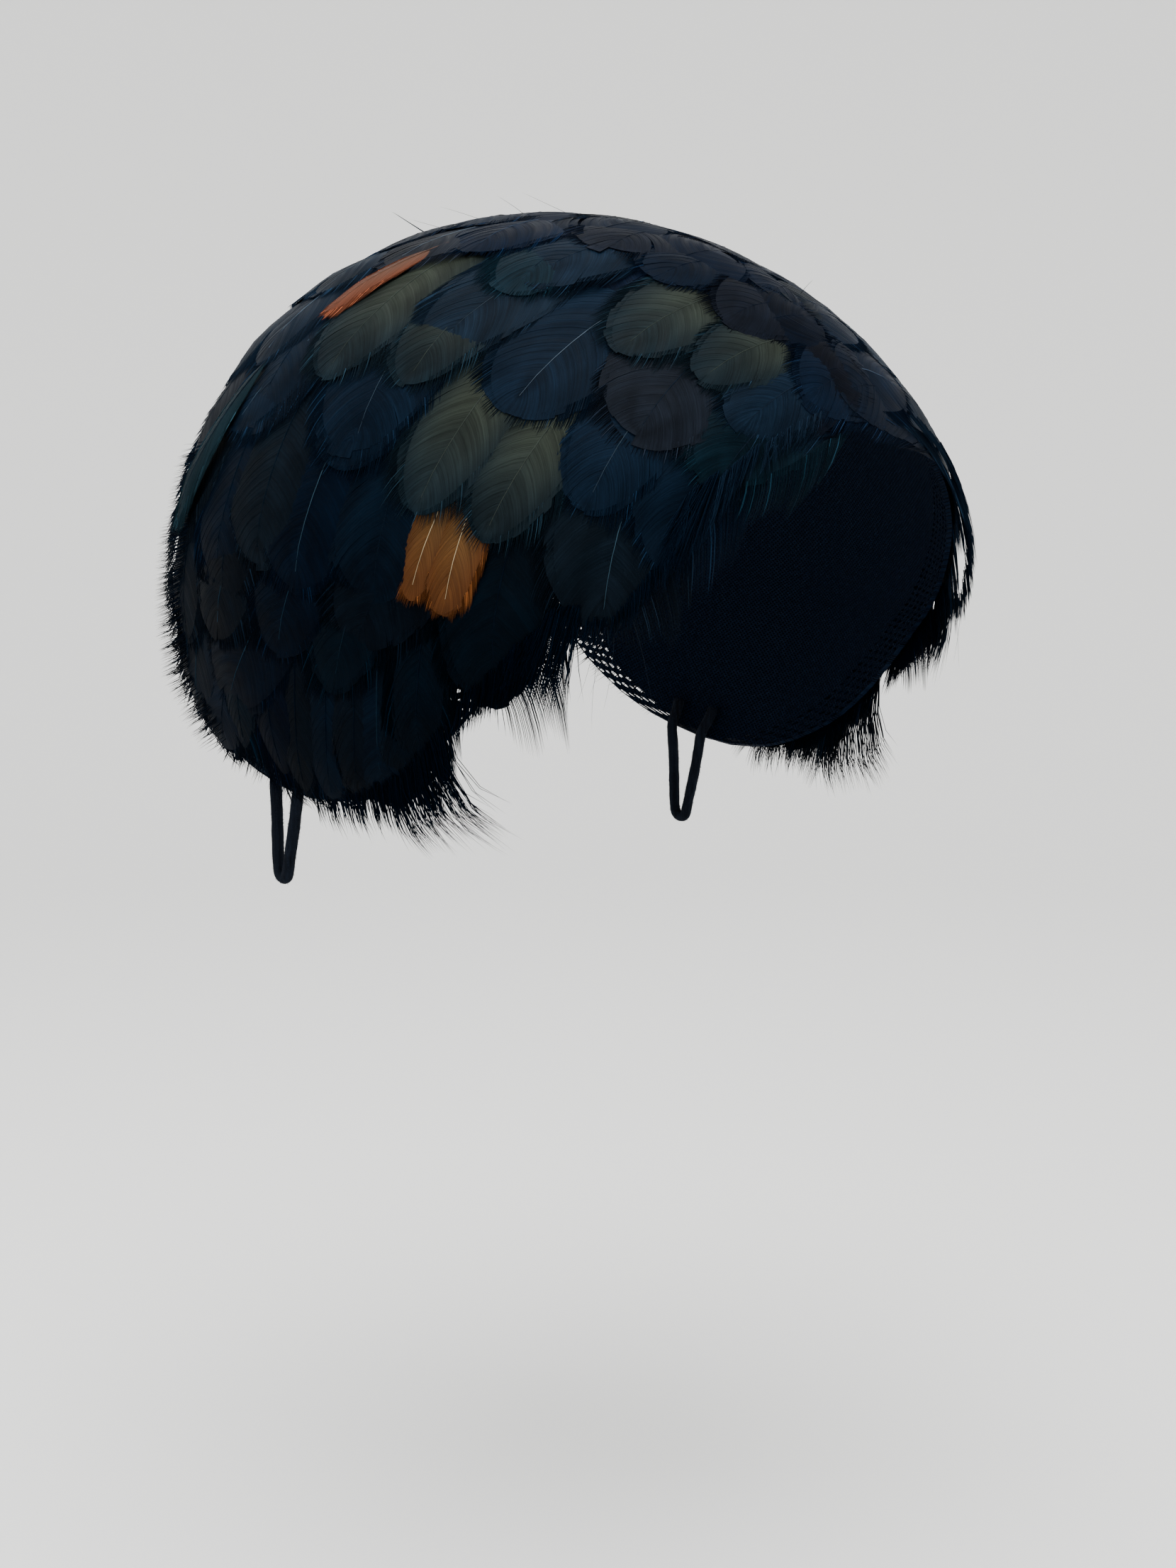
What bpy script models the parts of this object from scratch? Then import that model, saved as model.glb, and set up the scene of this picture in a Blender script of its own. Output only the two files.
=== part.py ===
"""A feathered bandeau: a stiff net base that arches over the head from ear to ear, covered with rows of
feathers that run from the middle of the crown down to each side, with a velvet loop below each end.

Metres, +Z up, the face towards -Y, the wearer's right side towards -X. The origin is where the crown of
the head touches the net. A place on the net is given by two angles: around, from the top of the crown
towards an ear, and along, from the ear-to-ear line, below zero towards the face.
"""

import math
from collections import namedtuple

import bmesh
import bpy
import numpy as np

# Net base
NET_HALF_WIDTH = 0.080
NET_HALF_DEPTH = 0.0997
NET_HEIGHT = 0.083
NET_WALL = 0.0012
NET_TILT = math.radians(7.4)
NET_END = math.radians(123)
FRONT_REACH = math.radians(51.6)
BACK_REACH = math.radians(43.7)
SHOULDER_FALL = 1.08
POLE_FALL = 0.963
SIDE_CURL = 0.55

# Feather rows
FEATHER_THICKNESS = 0.0012
FEATHER_CREST = 0.0005
FEATHER_GAP = 0.00045
TIP_THINNING = 0.4
ROW_STEP = math.radians(16)
FIRST_ROOT = math.radians(15)
ROW_LENGTH = math.radians(24)
LAST_ROW_LENGTH = math.radians(28.5)
TIP_DEPTH = math.radians(6.5)
TIP_ROUNDNESS = 2.4
OVERHANG = 0.0052
BULK_CHANGE = 0.4

# Single coloured feathers, seated on the rows. The quill end's width is a share of the greatest width,
# and the rounding of the tip a share of the row's step.
ACCENT_THICKNESS = 0.0008
QUILL_END_WIDTH = 0.5
WIDEST_TURN = math.radians(130)
ACCENT_ROUNDING = 0.16

# Velvet pin loops
LOOP_DIAMETER = 0.0027
LOOP_ALONG = math.radians(8.3)
LOOP_GAP = 0.0004
LOOP_POINT_SPACING = 0.0022

# Meshes
NET_COLUMNS = 32
NET_ROWS = 11
FEATHER_COLUMNS = 5
FEATHER_ROWS = 5
ACCENT_CELLS = 5
CROWN_ROWS = 8
END_CROWDING = 1.35
SHARP_ANGLE = math.radians(40)
CURVE_STEPS = 12

SIDES = {"right": -1, "left": 1}

# The net's two edges, a row for each station: station as a share of NET_END, the front edge as a share
# of FRONT_REACH, the back edge as a share of BACK_REACH.
EDGE_ROWS = np.array([
    (0.00, 1.00, 1.00),
    (0.16, 0.995, 0.99),
    (0.33, 0.965, 0.97),
    (0.49, 0.88, 0.94),
    (0.65, 0.73, 0.89),
    (0.81, 0.515, 0.835),
    (0.91, 0.345, 0.72),
    (0.96, 0.205, 0.55),
    (0.99, 0.075, 0.34),
    (1.00, -0.03, 0.16),
])

# The feather rows from the crown down. Feathers is how many lie side by side. Right, left and tail are
# how far the row reaches past the net's front edge on each side of the head, and past its back edge, as
# shares of OVERHANG. Hold is the share of the row's length from which its feathers run straight down,
# and depth how deep its tips are cut, as a share of TIP_DEPTH.
Row = namedtuple("Row", "feathers right left tail hold depth")
ROWS = (
    Row(6, 0.6, 0.2, 0.8, 0.67, 1.0),
    Row(5, 1.3, 0.0, 0.5, 0.67, 1.0),
    Row(6, 2.0, 0.0, -0.2, 0.67, 1.0),
    Row(5, 2.0, 0.0, -0.6, 0.67, 1.1),
    Row(4, 1.7, 0.3, -0.8, 0.67, 1.2),
    Row(3, 1.3, 0.5, -1.0, 0.45, 1.3),
)
CROWN_FEATHERS = 5
CROWN_OVER = 0.3
CROWN_TAIL = 0.8

# The single coloured feathers on the wearer's right side. Row is the feather row that each lies on,
# counted from 1, root and tip are shares of that row's visible step, along is the angle of the shaft's
# root in degrees, lean how far the tip swings back, and width the greatest width in degrees.
Accent = namedtuple("Accent", "name colour row root tip along lean width")
ACCENTS = (
    Accent("olive_feather_1", "olive", 1, 0.24, 1.10, -28.0, 1.0, 11.0),
    Accent("olive_feather_2", "olive", 1, 0.24, 1.02, -38.5, 1.0, 9.5),
    Accent("rust_feather", "rust", 1, 0.40, 1.34, 8.6, 6.6, 5.5),
    Accent("olive_feather_3", "olive", 2, 0.24, 1.12, 7.0, 0.0, 12.0),
    Accent("olive_feather_4", "olive", 2, 0.24, 1.06, -5.5, 0.0, 11.0),
    Accent("olive_feather_5", "olive", 3, 0.24, 1.06, -16.5, 0.5, 10.5),
    Accent("olive_feather_6", "olive", 3, 0.24, 1.00, -27.0, 0.5, 9.5),
    Accent("amber_feather_back", "amber", 4, 0.20, 1.00, -17.0, 0.0, 6.0),
    Accent("amber_feather_front", "amber", 4, 0.24, 1.04, -23.4, 0.0, 6.0),
)

# The loop's middle line from one sewn end to the other: back along the rim, and up from it. The points
# above the rim follow the net's inner face, and the rest hang straight down from it.
LOOP_ROUTE = np.array([
    (0.0052, 0.0080),
    (0.0051, 0.0040),
    (0.0050, 0.0000),
    (0.0047, -0.0050),
    (0.0044, -0.0100),
    (0.0043, -0.0155),
    (0.0041, -0.0205),
    (0.0036, -0.0226),
    (0.0022, -0.0233),
    (0.0008, -0.0226),
    (0.0002, -0.0205),
    (-0.0010, -0.0155),
    (-0.0023, -0.0100),
    (-0.0033, -0.0050),
    (-0.0043, 0.0000),
    (-0.0050, 0.0040),
    (-0.0056, 0.0080),
])


def remove_objects():
    for item in list(bpy.data.objects):
        bpy.data.objects.remove(item, do_unlink=True)


def material(name, colour, roughness, metallic=0.0):
    made = bpy.data.materials.get(name) or bpy.data.materials.new(name)
    made.use_nodes = True
    shader = made.node_tree.nodes["Principled BSDF"]
    shader.inputs["Base Color"].default_value = (*colour, 1.0)
    shader.inputs["Roughness"].default_value = roughness
    shader.inputs["Metallic"].default_value = metallic
    return made


def black_net():
    return material("black_net", (0.012, 0.014, 0.018), 0.8)


def blue_black_feather():
    return material("blue_black_feather", (0.010, 0.018, 0.030), 0.45)


def olive_feather():
    return material("olive_feather", (0.045, 0.055, 0.035), 0.5)


def rust_feather():
    return material("rust_feather", (0.36, 0.09, 0.03), 0.5)


def amber_feather():
    return material("amber_feather", (0.42, 0.17, 0.04), 0.5)


def black_velvet():
    return material("black_velvet", (0.006, 0.007, 0.010), 0.95)


ACCENT_FINISH = {"olive": olive_feather, "rust": rust_feather, "amber": amber_feather}


def smooth(x, xs, ys):
    """Cubic pieces through the rows, with slopes that never overshoot, level at the first row."""
    steps = np.diff(ys) / np.diff(xs)
    before, after = steps[:-1], steps[1:]
    same_way = before * after > 0
    total = np.where(same_way, before + after, 1.0)
    inner = np.where(same_way, 2 * before * after / total, 0.0)
    slopes = np.concatenate(([0.0], inner, [steps[-1]]))
    i = np.clip(np.searchsorted(xs, x) - 1, 0, len(xs) - 2)
    width = xs[i + 1] - xs[i]
    t = (x - xs[i]) / width
    return (
        ys[i] * (1 + 2 * t) * (1 - t) ** 2
        + slopes[i] * width * t * (1 - t) ** 2
        + ys[i + 1] * t**2 * (3 - 2 * t)
        + slopes[i + 1] * width * t**2 * (t - 1)
    )


def edge_angle(around, column, reach):
    share = np.clip(np.abs(around) / NET_END, 0.0, 1.0)
    return reach * smooth(share, EDGE_ROWS[:, 0], EDGE_ROWS[:, column])


def front_edge(around):
    return -edge_angle(around, 1, FRONT_REACH)


def back_edge(around):
    return edge_angle(around, 2, BACK_REACH)


def power(value, exponent):
    return np.sign(value) * np.abs(value) ** exponent


def dome(around, along, height):
    """The net's outer face raised by a height: half ellipses swept from ear to ear, tilted forwards.

    Past the widest line the inward curl is cut to a share, so that the sides hang nearly straight.
    """
    around, along = np.broadcast_arrays(around, along)
    spread = np.abs(np.sin(around)) ** SHOULDER_FALL
    spread = np.where(np.abs(around) > math.pi / 2, 1 - SIDE_CURL * (1 - spread), spread)
    ring = np.abs(np.cos(along)) ** POLE_FALL
    x = (NET_HALF_WIDTH + height) * ring * spread * np.sign(around)
    y = (NET_HALF_DEPTH + height) * power(np.sin(along), POLE_FALL)
    z = (NET_HEIGHT + height) * ring * power(np.cos(around), SHOULDER_FALL)
    turn, rise = math.cos(NET_TILT), math.sin(NET_TILT)
    return np.stack([x, y * turn - z * rise, y * rise + z * turn], axis=-1)


def head_seat():
    """The highest point of the net's inner face on the middle line."""
    middle = dome(0.0, np.linspace(-FRONT_REACH, BACK_REACH, 4001), -NET_WALL)
    return middle[np.argmax(middle[:, 2])]


def on_net(around, along, height):
    return dome(around, along, height) - head_seat()


def closed_sheet(name, lower, upper, finish):
    """One closed body between two grids of points that share their order."""
    columns, rows = lower.shape[:2]
    shape = bmesh.new()
    low = [[shape.verts.new(p) for p in line] for line in lower]
    high = [[shape.verts.new(p) for p in line] for line in upper]
    for i in range(columns - 1):
        for j in range(rows - 1):
            shape.faces.new((high[i][j], high[i + 1][j], high[i + 1][j + 1], high[i][j + 1]))
            shape.faces.new((low[i][j], low[i][j + 1], low[i + 1][j + 1], low[i + 1][j]))
    for i in range(columns - 1):
        shape.faces.new((low[i][0], low[i + 1][0], high[i + 1][0], high[i][0]))
        shape.faces.new((low[i][-1], high[i][-1], high[i + 1][-1], low[i + 1][-1]))
    for j in range(rows - 1):
        shape.faces.new((low[0][j], high[0][j], high[0][j + 1], low[0][j + 1]))
        shape.faces.new((low[-1][j], low[-1][j + 1], high[-1][j + 1], high[-1][j]))
    bmesh.ops.recalc_face_normals(shape, faces=shape.faces)
    mesh = bpy.data.meshes.new(name)
    shape.to_mesh(mesh)
    shape.free()
    mesh.shade_smooth()
    mesh.set_sharp_from_angle(angle=SHARP_ANGLE)
    mesh.materials.append(finish)
    made = bpy.data.objects.new(name, mesh)
    bpy.context.scene.collection.objects.link(made)
    return made


def net_frame():
    """The net's one wall, with more stations towards its narrow rounded ends."""
    t = np.linspace(-1, 1, NET_COLUMNS + 1)
    around = np.sign(t) * NET_END * (1 - (1 - np.abs(t)) ** END_CROWDING)
    share = np.linspace(0, 1, NET_ROWS + 1)[None, :]
    front, back = front_edge(around)[:, None], back_edge(around)[:, None]
    along = front + share * (back - front)
    around = around[:, None] + np.zeros_like(along)
    return closed_sheet(
        "net_frame", on_net(around, along, -NET_WALL), on_net(around, along, 0.0), black_net()
    )


def feather_across(count):
    """Columns for feathers side by side: the share of the row's width, and -1 to 1 over each feather."""
    share = np.linspace(0, 1, count * FEATHER_COLUMNS + 1)
    return share, 2 * ((share * count) % 1.0) - 1


def tip_shape(across):
    return 1 - np.abs(across) ** TIP_ROUNDNESS


def bulk(around, along):
    """The feathers lie flatter at the front of the crown and stand fuller at the back of it."""
    return 1 + BULK_CHANGE * np.cos(around) * along / FRONT_REACH


def lift(around, along, root, step):
    """The height of a row's lower face: each step down it rises by a feather, to clear the next row."""
    rise = (FEATHER_THICKNESS + FEATHER_CREST) * bulk(around, along) + FEATHER_GAP
    return FEATHER_GAP + rise * (np.abs(around) - root) / step


def row_root(row):
    return FIRST_ROOT + (row - 1) * ROW_STEP


def row_top(row, around, along):
    full = (FEATHER_THICKNESS + FEATHER_CREST) * bulk(around, along)
    return lift(around, along, row_root(row), ROW_STEP) + full


def feathers(name, across, around, along, reach, lower_lift):
    """Feathers fused side by side: each is raised along its middle and thins towards its tip."""
    crest = FEATHER_CREST * (1 - across**2)[:, None] * reach
    body = FEATHER_THICKNESS * (1 - TIP_THINNING * reach**2)
    upper_lift = lower_lift + (body + crest) * bulk(around, along)
    return closed_sheet(
        name, on_net(around, along, lower_lift), on_net(around, along, upper_lift), blue_black_feather()
    )


def crown_feathers():
    share, across = feather_across(CROWN_FEATHERS)
    v = np.linspace(-1, 1, CROWN_ROWS + 1)[None, :]
    tip = FIRST_ROOT + ROW_STEP / 2 + TIP_DEPTH * (tip_shape(across) - 0.5)
    around = tip[:, None] * v
    held = np.minimum(np.abs(around), FIRST_ROOT)
    over = OVERHANG / NET_HALF_DEPTH
    front, back = front_edge(held) - CROWN_OVER * over, back_edge(held) + CROWN_TAIL * over
    along = front + share[:, None] * (back - front)
    lower_lift = lift(around, along, 0.0, FIRST_ROOT)
    return feathers("crown_feathers", across, around, along, np.abs(v), lower_lift)


def feather_row(side, row):
    """One row of feathers on one side of the head.

    The row first follows the net's edges. Further down its feathers run straight, so that their tips
    stand past the net's slanting front edge.
    """
    cut = ROWS[row - 1]
    last = row == len(ROWS)
    root = row_root(row)
    length = LAST_ROW_LENGTH if last else ROW_LENGTH
    share, across = feather_across(cut.feathers)
    v = np.linspace(0, 1, FEATHER_ROWS + 1)[None, :]
    tip = root + length + TIP_DEPTH * cut.depth * (tip_shape(across) - 0.5)
    around = root + (tip[:, None] - root) * v
    held = np.minimum(around, root + cut.hold * length)
    over = OVERHANG / NET_HALF_DEPTH
    front = front_edge(held) - {"right": cut.right, "left": cut.left}[side] * over
    back = back_edge(around) + cut.tail * over
    along = front + share[:, None] * (back - front)
    lower_lift = lift(around, along, root, ROW_STEP)
    return feathers(f"{side}_feathers_{row}", across, SIDES[side] * around, along, v, lower_lift)


def accent_feather(accent):
    """A single feather that lies on its row, just below the tips of the row above.

    It widens from its quill end as a sine wave that is past its crest at the tip, and the tip is a flat
    parabola.
    """
    start = row_root(accent.row) + ROW_LENGTH - ROW_STEP
    v = np.linspace(0, 1, ACCENT_CELLS + 1)[None, :]
    u = np.linspace(-1, 1, ACCENT_CELLS + 1)[:, None]
    widening = QUILL_END_WIDTH + (1 - QUILL_END_WIDTH) * np.sin(WIDEST_TURN * v)
    half = math.radians(accent.width / 2) * widening
    end = accent.tip - ACCENT_ROUNDING * u**2
    around = start + ROW_STEP * (accent.root + (end - accent.root) * v)
    along = math.radians(accent.along) + math.radians(accent.lean) * v + u * half
    lower = row_top(accent.row, around, along) + FEATHER_GAP
    upper = lower + ACCENT_THICKNESS
    side = SIDES["right"]
    finish = ACCENT_FINISH[accent.colour]()
    return closed_sheet(
        accent.name, on_net(side * around, along, lower), on_net(side * around, along, upper), finish
    )


def rounded_route(points, spacing):
    """A smooth curve through the route's points, read at even distances."""
    ends = np.vstack([2 * points[0] - points[1], points, 2 * points[-1] - points[-2]])
    t = np.linspace(0, 1, CURVE_STEPS, endpoint=False)[:, None]
    pieces = []
    for a, b, c, d in zip(ends[:-3], ends[1:-2], ends[2:-1], ends[3:]):
        pieces.append(0.5 * (2 * b + (c - a) * t + (2 * a - 5 * b + 4 * c - d) * t**2
                             + (3 * b - a - 3 * c + d) * t**3))
    dense = np.vstack(pieces + [points[-1:]])
    walked = np.concatenate(([0.0], np.cumsum(np.linalg.norm(np.diff(dense, axis=0), axis=1))))
    even = np.linspace(0, walked[-1], round(walked[-1] / spacing) + 1)
    return np.stack([np.interp(even, walked, dense[:, k]) for k in range(3)], axis=1)


def pin_loop(side):
    """A velvet loop, sewn inside the net's rim by both ends, that hangs below it."""
    back, up = LOOP_ROUTE.T
    around = NET_END - np.maximum(up, 0.0) / NET_HEIGHT
    along = LOOP_ALONG + back / NET_HALF_DEPTH
    points = on_net(SIDES[side] * around, along, -NET_WALL - LOOP_GAP - LOOP_DIAMETER / 2)
    points[:, 2] += np.minimum(up, 0.0)
    route = rounded_route(points, LOOP_POINT_SPACING)
    curve = bpy.data.curves.new(f"pin_loop_{side}", "CURVE")
    curve.dimensions = "3D"
    curve.bevel_depth = LOOP_DIAMETER / 2
    curve.bevel_resolution = 2
    curve.use_fill_caps = True
    spline = curve.splines.new("POLY")
    spline.points.add(len(route) - 1)
    spline.points.foreach_set("co", np.column_stack([route, np.ones(len(route))]).ravel())
    curve.materials.append(black_velvet())
    made = bpy.data.objects.new(f"pin_loop_{side}", curve)
    bpy.context.scene.collection.objects.link(made)
    return made


def main():
    remove_objects()
    net_frame()
    crown_feathers()
    for side in SIDES:
        for row in range(1, len(ROWS) + 1):
            feather_row(side, row)
        pin_loop(side)
    for accent in ACCENTS:
        accent_feather(accent)


main()
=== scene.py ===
import math
from collections import namedtuple

import bpy
import numpy as np
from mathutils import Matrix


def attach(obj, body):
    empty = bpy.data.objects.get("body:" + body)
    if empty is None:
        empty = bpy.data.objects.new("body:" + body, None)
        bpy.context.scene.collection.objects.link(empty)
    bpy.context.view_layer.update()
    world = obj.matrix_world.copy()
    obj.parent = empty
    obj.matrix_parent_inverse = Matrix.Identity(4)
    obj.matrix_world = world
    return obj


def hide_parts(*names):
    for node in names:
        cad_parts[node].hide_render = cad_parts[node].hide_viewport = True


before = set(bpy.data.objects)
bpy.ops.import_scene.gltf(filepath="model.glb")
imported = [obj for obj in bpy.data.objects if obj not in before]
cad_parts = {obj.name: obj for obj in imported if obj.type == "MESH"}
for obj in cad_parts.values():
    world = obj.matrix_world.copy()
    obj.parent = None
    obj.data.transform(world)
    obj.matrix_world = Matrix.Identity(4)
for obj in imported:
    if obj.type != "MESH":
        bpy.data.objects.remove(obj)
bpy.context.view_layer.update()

# The net, as in the solids: half ellipses swept from one lower end to the other and tilted forwards
NET_HALF_WIDTH = 0.080
NET_HALF_DEPTH = 0.0997
NET_HEIGHT = 0.083
NET_WALL = 0.0012
NET_TILT = math.radians(7.4)
NET_END = math.radians(123)
FRONT_REACH = math.radians(51.6)
BACK_REACH = math.radians(43.7)
SHOULDER_FALL = 1.08
POLE_FALL = 0.963
SIDE_CURL = 0.55
# The net's edges: share of NET_END round, and shares of FRONT_REACH and BACK_REACH
EDGE_ROWS = np.array([
    (0.00, 1.00, 1.00), (0.16, 0.995, 0.99), (0.33, 0.965, 0.97), (0.49, 0.88, 0.94),
    (0.65, 0.73, 0.89), (0.81, 0.515, 0.835), (0.91, 0.345, 0.72), (0.96, 0.205, 0.55),
    (0.99, 0.075, 0.34), (1.00, -0.03, 0.16),
])
SIDES = {"right": -1, "left": 1}

# Net holes
HOLE_PITCH = 0.0021
HOLE_SHARE = 0.56
HOLED_MARGIN = 0.0105
MARGIN_SHARE = 0.4
HOLE_CORNERS = 8
HOLE_STRAY = 0.18
NET_COLUMNS = 160
NET_ROWS = 30
NET_UNEVEN = 0.00012
NET_INSET = 0.0001
NET_TINT = np.array([0.0012, 0.0034, 0.0085])
THREAD_WAVE = 0.0016

# Feather rows
ROW_STEP = math.radians(16)
FIRST_TIP = math.radians(23)
OVERHANG = 0.0052
BULK_CHANGE = 0.4
FEATHER_LENGTH = 0.053
FEATHER_HALF_WIDTH = 0.0158
FEATHER_SPACING = 0.0200
TIP_HEIGHT = 0.0046
SLOPE = 0.062
TIP_DROOP = 0.0009
DROOP_RUN = 0.012
SHORTER_TIP = math.radians(4.5)
ACCENT_ROOM = 0.002
ACCENT_FRINGE = 0.0007
TUFT_ROW = 3
PRESSED_MARGIN = 0.012
PRESSED_SHARE = 0.55

# How the feathers of a row vary: strays are standard deviations, spans are least and greatest values
END_INSET = 0.80
ALONG_STRAY = math.radians(0.9)
TIP_STRAY = math.radians(2.2)
HEADING_FAN = math.radians(4)
HEADING_STRAY = math.radians(8.5)
CALM_ENDS = 0.7
BEND_STRAY = 0.05
LENGTH_SPAN = (0.93, 1.07)
WIDTH_SPAN = (0.84, 1.12)
TINT_SPAN = (0.85, 1.2)
ABOVE_SPAN = (0, 0.00012)
ROLL_SPAN = (0.00005, 0.00016)
LOOSE_SPAN = (0.7, 1.3)
FRINGE_SPAN = (0.5, 1.5)
PALE_CHANCE = 0.4
PALE_SPAN = (0.3, 1.0)
BACK_LOOSE = 0.08
LEAST_FRINGE = 0.0013
BACK_FRINGE = 0.0022
MIDDLE_FRINGE = 0.10

# One feather. Forward is from the quill end towards the tip, lateral across, as shares of its length and
# greatest half width.
QUILL_END_WIDTH = 0.45
BELLY = 0.60
TIP_ROUNDNESS = 2.4
SHAFT_REACH = 0.90
FIRST_BARB_END = 0.34
BARB_CROWDING = 1.6
BARB_ARCH = 0.45
BARB_SLANT = 0.60
CAMBER = 0.0007
VANE_THICKNESS = 0.00012
LOCKS = 18
LOCK_CELLS = (2, 5)
LOCK_LAP = 0.04
LAP_RISE = 0.00004
LOCK_SWEEP = 0.00085
SWEEP_SHARES = (0.6, 1.0, 2.4)
SWEEP_CHANCES = (0.4, 0.4, 0.2)
LOCK_LIFT = (-0.00008, 0.00020)
GROUP_CUT = (0.02, 0.07)
LOCK_CUT = (0.0, 0.04)
LOCK_SHADE = 0.06
SPLIT_CHANCE = 0.24
RIM_START = 0.06
RIM_RUN = 0.86
FADE_START = 0.45
FADE_RUN = 0.50
TIP_FADE = 0.8
SHAFT_RADIUS = 0.00019
SHAFT_CELLS = 9
SHAFT_SIDES = 5
BARB_RADIUS = 0.00010
BARBS = 105
ROOTED_SHARE = 0.16
BARB_REACH = 1.02
REACH_STRAY = 0.025
BARB_STRAY = 0.00012
BARB_RISE = 0.00004
RISE_STRAY = 0.00010
SHORT_FRINGE = 0.003
GLINT_SHARE = 0.08
GLINT = 5.0
DULL_SPAN = (0.6, 1.4)
GATHERS = 7
GATHER_SWAY = 0.0006

# Velvet loops. The route's rows are metres back from the loop's middle and up from the net's lower end.
LOOP_DIAMETER = 0.0027
LOOP_ALONG = math.radians(8.3)
LOOP_GAP = 0.0004
LOOP_SIDES = 14
LOOP_RINGS = 110
PILE_TUFTS = 3000
PILE_LENGTH = 0.00055
PILE_RADIUS = 0.00005
LOOP_UNEVEN = 0.04
LOOP_END_SHARE = 0.8
LOOP_TINT = np.array([0.0022, 0.0034, 0.0062])
LOOP_ROUTE = np.array([
    (0.0052, 0.0080), (0.0051, 0.0040), (0.0050, 0.0000), (0.0047, -0.0050), (0.0044, -0.0100),
    (0.0043, -0.0155), (0.0041, -0.0205), (0.0036, -0.0226), (0.0022, -0.0233), (0.0008, -0.0226),
    (0.0002, -0.0205), (-0.0010, -0.0155), (-0.0023, -0.0100), (-0.0033, -0.0050), (-0.0043, 0.0000),
    (-0.0050, 0.0040), (-0.0056, 0.0080),
])

# Camera, as the photograph was taken
CAMERA_TURN = math.radians(-47.87)
CAMERA_RISE = math.radians(7.08)
CAMERA_DISTANCE = 0.62
CAMERA_LENS = 60.92
CAMERA_RIGHT = 0.004044
CAMERA_UP = -0.044581
DOME_SHIFT = 0.0018

FLOOR_DROP = -0.30
ROOM_RADIUS = 1.9
ROOM_HEIGHT = 1.6

# Each feather row: how far it reaches past the net's front edge on each half and past its back edge, as
# shares of OVERHANG, the share of each barb that is loose in the middle of the row and at its front end,
# the length of the loose barbs there, and how far above its tips the net's front edge is followed, as a
# share of ROW_STEP
Row = namedtuple("Row", "right left tail loose front_loose fringe hold")
ROWS = (
    Row(0.3, 0.3, 0.8, 0.02, 0.05, 0.0010, 0.8),
    Row(0.6, 0.2, 0.5, 0.03, 0.08, 0.0020, 0.8),
    Row(1.3, 0.0, -0.1, 0.04, 0.14, 0.0035, 0.8),
    Row(2.0, 0.0, -0.8, 0.06, 0.24, 0.0060, 0.7),
    Row(1.8, 0.0, -0.7, 0.08, 0.26, 0.0065, 0.6),
    Row(1.4, 0.2, -0.7, 0.09, 0.24, 0.0045, 0.45),
    Row(0.8, 0.1, -0.8, 0.10, 0.20, 0.0040, 0.3),
)

# The single coloured feathers on the right half: tip as the angle round from the crown, along as the
# angle of the shaft, both in degrees, length and half width in millimetres, lean in degrees towards the
# back, loose as the share of each barb that stands free, and above as a share of ACCENT_LIFT
ACCENT_LIFT = 0.00055
ACCENT_BEND = 0.02
Accent = namedtuple("Accent", "name colour tip along length half_width lean loose above")
ACCENTS = (
    Accent("olive_feather_1", "olive", 38.5, -27.5, 48, 14.0, 4, 0.12, 0.7),
    Accent("olive_feather_2", "olive", 35.0, -38.0, 46, 12.0, 4, 0.12, 0.5),
    Accent("rust_feather", "rust", 44.5, 15.5, 30, 4.2, 26, 0.06, 1.5),
    Accent("olive_feather_3", "olive", 56.5, 7.0, 50, 15.0, 3, 0.12, 0.7),
    Accent("olive_feather_4", "olive", 55.5, -5.5, 48, 13.5, 0, 0.12, 0.5),
    Accent("olive_feather_5", "olive", 73.0, -14.5, 50, 13.5, 4, 0.16, 1.0),
    Accent("olive_feather_6", "olive", 74.0, -24.0, 48, 13.0, 6, 0.16, 0.8),
    Accent("amber_feather_back", "amber", 84.8, -16.4, 38, 6.0, 3, 0.0, 0.3),
    Accent("amber_feather_front", "amber", 86.3, -21.2, 38, 6.4, -2, 0.0, 0.6),
)

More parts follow.
